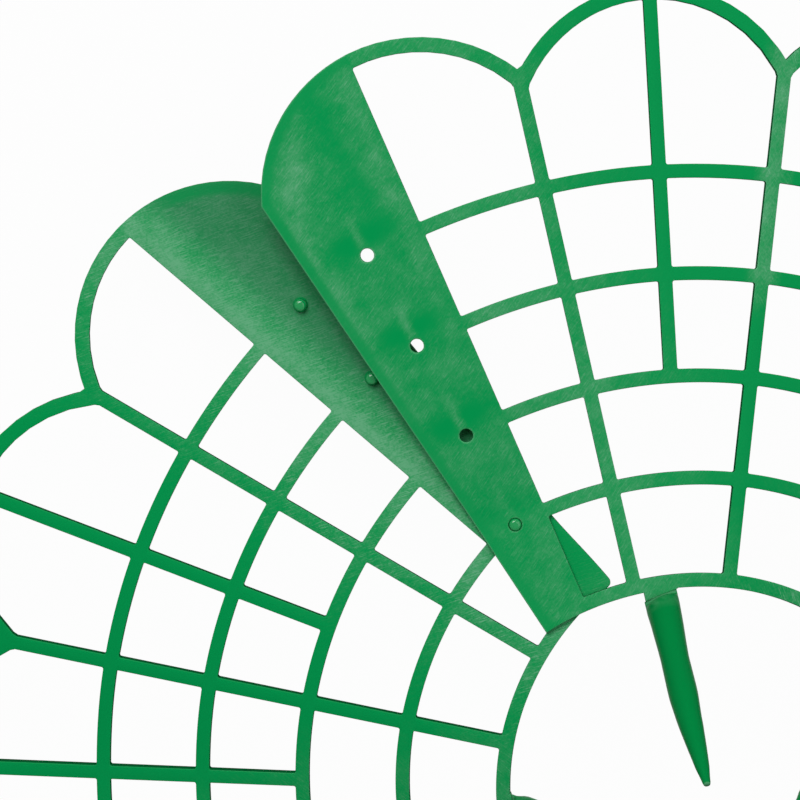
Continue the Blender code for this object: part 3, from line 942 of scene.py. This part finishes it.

# Smooth and worn zones, painted highlight rims and the painted shade beside the hole plate, in
# millimetres from an edge, or out along the plate
PLATE_EDGE = (-0.3, 0.3)
HOLE_BORDER = (1.6, 3.4, 1, 0)
# Thin line of painted highlight along the hole plate's free rim
HOLE_PLATE_RIM_HIGHLIGHT = (0.22, 0.55, 1, 0)
PEG_BORDER = (2.0, 4.6, 1, 0)
PEG_BORDER_ACROSS = (7.0, 15.0)
# Thin line of painted highlight along the peg plate's outer rim
PEG_PLATE_RIM_HIGHLIGHT = (0.15, 0.45, 1, 0)
INNER_PLATE = (88.0, 100.0, 1, 0)
INNER_END = (68.0, 76.0, 0.5, 1.0)
# Painted shade beside the hole plate: its growth across the peg plate and out along it
PAINTED_SHADE_ACROSS = (5.0, 14.0)
PAINTED_SHADE_OUT = (92.0, 104.0)


def hole_plate_tone(tree, flat, tone, edges, hole_wear):
    """Tone, smooth border and painted highlight rim of the hole plate, with its bands and the wear
    of its holes.
    """
    out, across = turned_parts(tree, flat, -SPAN)
    minus, plus, outer = place_group(tree, edges, {'Out': out, 'Across': across,
                                                   'Petal Side': -1.0})
    wear = place_group(tree, hole_wear, {'Out': out, 'Across': across})['Tone']
    shoulder = band(tree, outer, SHOULDER)
    shoulder = product(tree, shoulder, remap(tree, across, *SHOULDER_ACROSS, soft=True))
    middle = product(tree, band(tree, across, CENTRE_BAND), remap(tree, out, *CENTRE_BAND_OUT))
    stripe = product(tree, band(tree, minus, CELL_STRIPE), remap(tree, out, *CELL_STRIPE_OUT))
    on_plate = remap(tree, minus, *PLATE_EDGE)
    added = product(tree, total(tree, shoulder, middle, stripe, wear), on_plate)
    border = maths(tree, 'MINIMUM', plus, outer)
    smooth = product(tree, remap(tree, border, *HOLE_BORDER, soft=True), on_plate)
    # Painted highlight: a thin light line along the plate's free rim
    rim = product(tree, remap(tree, border, *HOLE_PLATE_RIM_HIGHLIGHT), on_plate)
    return total(tree, tone, added), smooth, rim


def peg_plate_tone(tree, flat, tone, edges):
    """Tone, smooth zones and painted highlight rim of the peg plate, its painted shade beside the
    hole plate and its stripe of painted sheen.
    """
    out, across = turned_parts(tree, flat, 0.0)
    _, plus, outer = place_group(tree, edges, {'Out': out, 'Across': across, 'Petal Side': 1.0})
    on_plate = remap(tree, plus, *PLATE_EDGE)
    # Painted sheen: a light stripe along the peg plate's cell edge
    painted_sheen = product(tree, band(tree, plus, SHEEN_STRIPE),
                     remap(tree, out, *SHEEN_STRIPE_OUT), on_plate)
    top = product(tree, remap(tree, outer, *PEG_BORDER, soft=True),
                  remap(tree, plus, *PEG_BORDER_ACROSS, soft=True))
    # Painted highlight: a thin light line along the plate's outer rim
    rim = product(tree, remap(tree, outer, *PEG_PLATE_RIM_HIGHLIGHT), on_plate)
    inner = product(tree, remap(tree, out, *INNER_PLATE, soft=True), remap(tree, out, *INNER_END))
    smooth = product(tree, maths(tree, 'MAXIMUM', top, inner), on_plate)
    # Painted shade on the peg plate, growing from the cell edge towards the raised hole plate
    painted_shade = product(tree, remap(tree, plus, *PAINTED_SHADE_ACROSS, soft=True), on_plate,
                   maths(tree, 'SUBTRACT', 1.0, product(tree, smooth, 0.5)),
                   remap(tree, out, *PAINTED_SHADE_OUT))
    return total(tree, tone, painted_sheen), smooth, rim, painted_shade


# Scratches as direction, length and width in millimetres: two on the hole side, one on the other
SCRATCHES = ((radians(-6.6), 3.2, 0.30), (radians(-15.0), 2.2, 0.22), (radians(-65.0), 3.2, 0.30))
SECOND_SCRATCHES = 0.7

# Clouds as scale for a millimetre and contrast, from wide to fine
CLOUDS = ((0.10, 0.70), (0.32, 0.55), (1.6, 0.42))
MARK_TONE = 0.14
GRAIN_TONE = 0.13

# Values of the hole side and of the peg side
FINE_STRENGTH = (1.45, 2.3)
SMOOTH_TONE = (0.17, 0.12)
# Tone of the painted highlight on each plate's rim
RIM_HIGHLIGHT_TONE = (0.60, 0.25)

# Shares of the smooth border, of fine marks in it, and what the painted shade beside the hole
# plate and the painted highlight on sharp edges add
HOLE_BORDER_SHARE = 0.75
SMOOTH_FINE = 0.3
PAINTED_SHADE_TONE = 0.10
PAINTED_SHADE_SHARE = 0.52
EDGE_HIGHLIGHT_TONE = 0.28


def panel_material(scratches, clouds, edges, hole_wear):
    """Rubbed green plastic: frosted where scratched with a painted sheen, deep and smooth
    elsewhere, cut walls painted dark as shade.

    The deep and the frosted green are mixed by the square of the tone.
    """
    material, tree, shader, values, wall = new_material('rubbed_green_plastic')
    tone, side = values['Red'], values['Blue']
    edge_highlight = remap(tree, values['Green'], 0.5, 1.0)
    peg_share = remap(tree, values['Green'], 0.1, 0.4, 1, 0)
    off_peg = maths(tree, 'SUBTRACT', 1.0, peg_share)
    place = add_node(tree, 'UVMap', uv_map='flat').outputs[0]
    flat = add_node(tree, 'VectorMath', {0: place, 'Scale': MM/FLAT_MAP_UNITS},
                    operation='SCALE').outputs[0]
    layers = [place_group(tree, scratches, {'Place': flat, 'Direction': direction,
                                            'Length': length, 'Width': width})
              for direction, length, width in SCRATCHES]
    (marks, grain), (second_marks, _), (peg_marks, peg_grain) = layers
    marks = maths(tree, 'MAXIMUM', marks, product(tree, second_marks, SECOND_SCRATCHES))
    marks = mix_values(tree, side, marks, peg_marks)
    grain = mix_values(tree, side, grain, peg_grain)
    cloud = [place_group(tree, clouds, {'Place': flat, 'Scale': scale, 'Contrast': contrast})[0]
             for scale, contrast in CLOUDS]
    hole_tone, hole_smooth, hole_side_rim_highlight = hole_plate_tone(tree, flat, tone, edges, hole_wear)
    peg_tone, peg_smooth, peg_side_rim_highlight, painted_shade = peg_plate_tone(tree, flat, tone, edges)
    wear_and_light_tone = mix_values(tree, side, hole_tone, peg_tone)
    rough_share = remap(tree, wear_and_light_tone, 0.0, 0.35)
    fine = total(tree, product(tree, marks, MARK_TONE), product(tree, grain, GRAIN_TONE), cloud[2])
    fine = product(tree, fine, mix_values(tree, side, *FINE_STRENGTH))
    uneven = total(tree, fine, cloud[0], cloud[1])
    wear_and_light_tone = total(tree, wear_and_light_tone, product(tree, uneven, rough_share))
    calm = total(tree, product(tree, fine, SMOOTH_FINE), SMOOTH_TONE[1])
    calm = mix_values(tree, side, SMOOTH_TONE[0], calm)
    smooth = mix_values(tree, side, product(tree, hole_smooth, HOLE_BORDER_SHARE), peg_smooth)
    wear_and_light_tone = mix_values(tree, smooth, wear_and_light_tone, calm)
    # Painted highlight along the plates' rims
    rim = mix_values(tree, side, product(tree, hole_side_rim_highlight, RIM_HIGHLIGHT_TONE[0]),
                     product(tree, peg_side_rim_highlight, RIM_HIGHLIGHT_TONE[1]))
    wear_and_light_tone = maths(tree, 'MAXIMUM', wear_and_light_tone, rim)
    # Painted shade beside the hole plate: a darker, browner colour, kept off the pegs
    painted_shade = product(tree, painted_shade, side, off_peg)
    wear_and_light_tone = total(tree, wear_and_light_tone, product(tree, painted_shade, PAINTED_SHADE_TONE))
    # Painted highlight along the rounded edges
    wear_and_light_tone = maths(tree, 'ADD', wear_and_light_tone, product(tree, edge_highlight, EDGE_HIGHLIGHT_TONE), clamp=True)
    amount = product(tree, wear_and_light_tone, wear_and_light_tone, off_peg)
    # Real frost mixed with a painted sheen, by the square of the tone
    colour = mix_colours(tree, amount, DEEP_GREEN, FROST_AND_SHEEN_GREEN)
    colour = mix_colours(tree, product(tree, painted_shade, PAINTED_SHADE_SHARE), colour, PAINTED_SHADE_GREEN)
    # The cut walls get a dark green painted as shade
    tree.links.new(mix_colours(tree, wall, colour, SHADED_WALL_GREEN), shader['Base Color'])
    roughness = mix_values(tree, wall, remap(tree, amount, 0.0, 0.8, 0.34, 0.55), 0.9)
    tree.links.new(roughness, shader['Roughness'])
    tree.links.new(product(tree, peg_share, PEG_COAT), shader['Coat Weight'])
    add_bump(tree, shader, product(tree, total(tree, marks, grain), rough_share), 0.2, 0.00005)
    return material


# Clouds of the stake as scale for a metre and contrast, and the frost of its root, crease and tip
STAKE_CLOUDS = (320.0, 1.2)
STAKE_BUMPS = (900.0, 1.0)
ROOT_FROST = 0.20
CREASE_FROST = 0.55
TIP_FROST = 0.7


def stake_material(clouds):
    """Smooth deep green plastic, frosted on the root, white on the crease, pale on the cut tip."""
    material, tree, shader, values, _ = new_material('smooth_green_plastic')
    root, tip, crease = values['Red'], values['Green'], values['Blue']
    place = add_node(tree, 'TexCoord').outputs['Object']
    cloud, height = [
        place_group(tree, clouds, {'Place': place, 'Scale': scale, 'Contrast': contrast})[0]
        for scale, contrast in (STAKE_CLOUDS, STAKE_BUMPS)]
    frost = product(tree, maths(tree, 'ADD', cloud, ROOT_FROST), root)
    frost = maths(tree, 'MAXIMUM', frost, product(tree, crease, CREASE_FROST))
    frost = maths(tree, 'MAXIMUM', frost, product(tree, tip, TIP_FROST))
    tree.links.new(mix_colours(tree, frost, STAKE_GREEN, FROST_AND_SHEEN_GREEN), shader['Base Color'])
    tree.links.new(remap(tree, frost, 0.0, 1.0, 0.28, 0.5), shader['Roughness'])
    add_bump(tree, shader, height, 0.1, 0.00004)
    return material


def seen_share(tree):
    """1 where the camera sees a surface, straight or in gloss or glass, and 0 for its light."""
    path = add_node(tree, 'LightPath').outputs
    seen = maths(tree, 'MAXIMUM', path['Is Camera Ray'], path['Is Glossy Ray'])
    return maths(tree, 'MAXIMUM', seen, path['Is Transmission Ray'])


# Floor: its height, just under the rim at the swings' limits, its half size and its white's share
FLOOR_HEIGHT = -0.021
FLOOR_HALF_SIZE = 3.0
FLOOR_GLOW = 0.97

# World: its strength as a light and where it is seen
WORLD_LIGHT = 0.15
WORLD_SEEN = 0.98


def build_floor():
    """Plain white floor that shows white to the camera and keeps a soft shadow."""
    corners = np.array([[x*FLOOR_HALF_SIZE, y*FLOOR_HALF_SIZE, FLOOR_HEIGHT]
                        for x, y in ((-1, -1), (1, -1), (1, 1), (-1, 1))])
    floor = new_mesh('floor', corners, [[0, 1, 2, 3]])
    material = bpy.data.materials.new('floor_white')
    material.use_nodes = True
    tree = material.node_tree
    shader = tree.nodes['Principled BSDF']
    for name, value in (('Base Color', (0.55, 0.55, 0.55, 1.0)), ('Roughness', 0.9),
                        ('Specular IOR Level', 0.0)):
        shader.inputs[name].default_value = value
    glow = add_node(tree, 'Emission', {'Color': (1.0, 1.0, 1.0, 1.0), 'Strength': 1.0})
    share = product(tree, seen_share(tree), FLOOR_GLOW)
    mixed = add_node(tree, 'MixShader', {0: share, 1: shader.outputs[0], 2: glow.outputs[0]})
    tree.links.new(mixed.outputs[0], tree.nodes['Material Output'].inputs['Surface'])
    floor.data.materials.append(material)


def build_world():
    """Plain white world: weak as a light, and as bright as the floor where it is seen."""
    world = bpy.data.worlds.new('studio')
    world.use_nodes = True
    tree = world.node_tree
    background = tree.nodes['Background'].inputs
    background['Color'].default_value = (1.0, 1.0, 1.0, 1.0)
    strength = mix_values(tree, seen_share(tree), WORLD_LIGHT, WORLD_SEEN)
    tree.links.new(strength, background['Strength'])
    bpy.context.scene.world = world


# Camera: its right, up and back directions, its place in metres, and its lens
CAMERA_RIGHT = (0.8042, -0.57091, 0.16531)
CAMERA_UP = (0.59162, 0.74222, -0.31479)
CAMERA_BACK = (0.05702, 0.35096, 0.93465)
CAMERA_PLACE = (0.06498632, 0.54255855, 1.16877797)
CAMERA_LENS = 225.0

# Lights: where they face, their distance in metres; name, two leans, side in metres and watts
LIGHT_AIM = (0.0, 0.08, 0.03)
LIGHT_DISTANCE = 1.2
LIGHTS = (('key_light', -0.20, 0.35, 0.5, 9.5), ('side_light', 0.50, 0.08, 0.9, 4.6))


def put(name, data, axes, place):
    """Object in the scene with its axes' directions and its place."""
    item = bpy.data.objects.new(name, data)
    bpy.context.scene.collection.objects.link(item)
    matrix = np.eye(4)
    matrix[:3, :3] = np.stack(axes, -1)
    matrix[:3, 3] = place
    item.matrix_world = Matrix(matrix.tolist())
    return item


def build_light(name, right, upward, size, power):
    """Square area light that faces the joint, leaning from the camera's axis by two shares."""
    back = (np.array(CAMERA_RIGHT)*right + np.array(CAMERA_UP)*upward
            + np.array(CAMERA_BACK)*sqrt(1 - right**2 - upward**2))
    back /= np.linalg.norm(back)
    side = np.cross([0.0, 1.0, 0.0], back)
    side /= np.linalg.norm(side)
    lamp = bpy.data.lights.new(name, 'AREA')
    lamp.shape = 'SQUARE'
    lamp.size = size
    lamp.energy = power
    put(name, lamp, [side, np.cross(back, side), back], np.array(LIGHT_AIM) + back*LIGHT_DISTANCE)


def build_camera():
    """Camera at the picture's viewing angle."""
    data = bpy.data.cameras.new('camera')
    data.lens = CAMERA_LENS
    data.sensor_width = 36.0
    data.clip_start = 0.01
    axes = [CAMERA_RIGHT, CAMERA_UP, CAMERA_BACK]
    bpy.context.scene.camera = put('camera', data, axes, CAMERA_PLACE)


pivot_height = next(j for j in frame['joints'] if j['name'] == 'back_swing')['pos_m'][2]
clouds = clouds_group()
panel_plastic = panel_material(scratches_group(), clouds, plate_edges_group(), hole_wear_group())
stake_plastic = stake_material(clouds)
for side, (turn, shift) in zip(SIDES, ring_placements(pivot_height)):
    pivot_hole = OPEN_HOLE_RADIUS if side == 'front_left' else HOLE_RADIUS
    worn_rib = 1.0 if side == 'back_right' else 0.0
    lattice = build_lattice(side + '_lattice', turn, shift, pivot_hole, worn_rib)
    lattice.data.materials.append(panel_plastic)
    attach(lattice, side)
    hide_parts(side + '_panel')
    stake = build_stake(side + '_ground_stake', turn, shift)
    stake.data.materials.append(stake_plastic)
    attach(stake, side + '_spike')
    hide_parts(side + '_stake')

build_floor()
build_camera()
for light in LIGHTS:
    build_light(*light)
build_world()
bpy.context.scene.view_settings.view_transform = 'Standard'
